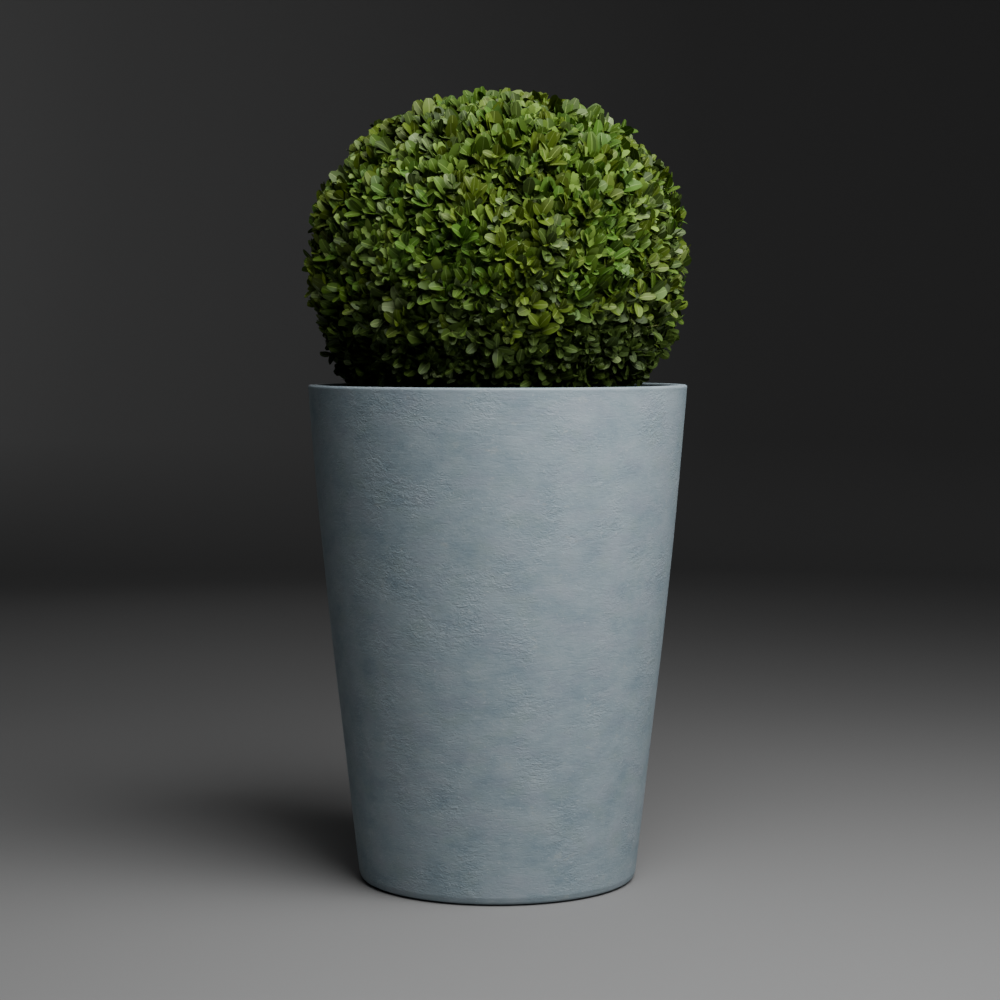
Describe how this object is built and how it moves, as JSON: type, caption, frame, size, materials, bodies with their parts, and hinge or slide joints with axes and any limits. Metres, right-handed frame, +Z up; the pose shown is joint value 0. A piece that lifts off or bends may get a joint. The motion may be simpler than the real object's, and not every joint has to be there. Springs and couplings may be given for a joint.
{
  "type": "box topiary ball in a planter",
  "caption": "Clipped evergreen box ball on a short stem, growing in a tall round tapered planter with a blue-grey fibre-clay wall, filled with compost.",
  "frame": {"origin": "centre of the planter's flat underside, on the ground", "axes": "+Z up along the planter's axis; -Y is the side that faces the viewer; +X to the viewer's right"},
  "size_m": [0.4819, 0.4814, 1.0009],
  "materials": {
    "fibre_clay": "matt blue-grey fibre clay with fine trowel marks",
    "compost": "crumbly dark moist compost",
    "bark": "rough grey-brown bark",
    "foliage": "semi-gloss green leaves"
  },
  "bodies": {
    "root": {"planter": "fibre_clay", "compost": "compost", "stem": "bark", "foliage_ball": "foliage"}
  },
  "joints": []
}
